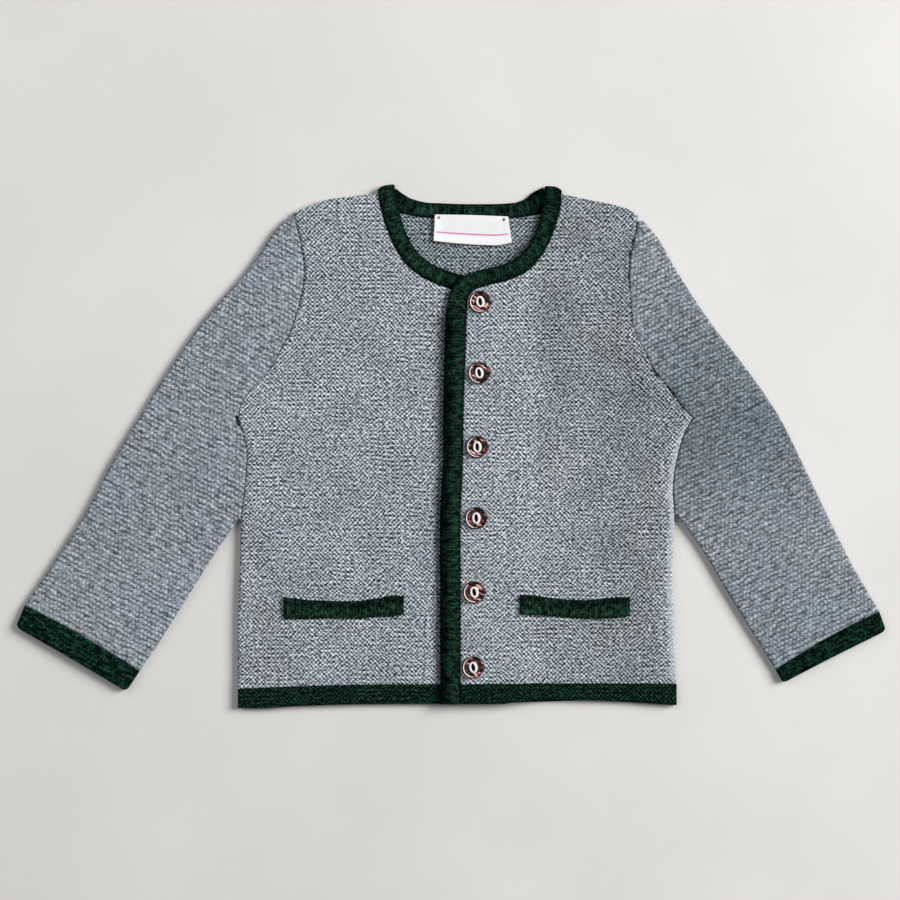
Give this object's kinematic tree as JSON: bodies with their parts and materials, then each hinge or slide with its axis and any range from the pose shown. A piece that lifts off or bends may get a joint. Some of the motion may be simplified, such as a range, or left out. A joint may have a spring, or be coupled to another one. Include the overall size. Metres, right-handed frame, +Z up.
{
  "type": "knit cardigan, laid flat",
  "caption": "Child's round-neck knit cardigan lying flat and buttoned, with long sleeves, bound neck and front edges, contrasting cuffs and hem, and pocket welts.",
  "frame": {"origin": "centre of the garment's plan outline, on the surface it lies on", "axes": "+Z up out of the front of the garment, +Y towards the collar, +X towards the wearer's left"},
  "size_m": [0.6094, 0.3669, 0.0117],
  "materials": {
    "grey_knit": "melange wool knit, matt",
    "green_knit": "dark green wool knit, matt and fuzzy",
    "horn_button": "imitation horn, satin",
    "label_weave": "white woven tape, slight sheen"
  },
  "bodies": {
    "root": {"back": "grey_knit", "front_right": "grey_knit", "front_left": "grey_knit", "sleeve_right": "grey_knit", "sleeve_left": "grey_knit", "cuff_right": "green_knit", "cuff_left": "green_knit", "hem_band_back": "green_knit", "hem_band_front_right": "green_knit", "hem_band_front_left": "green_knit", "binding_front_right": "green_knit", "binding_front_left": "green_knit", "binding_back_neck": "green_knit", "pocket_welt_right": "green_knit", "pocket_welt_left": "green_knit", "label": "label_weave", "button_1": "horn_button", "button_2": "horn_button", "button_3": "horn_button", "button_4": "horn_button", "button_5": "horn_button", "button_6": "horn_button"}
  },
  "joints": []
}
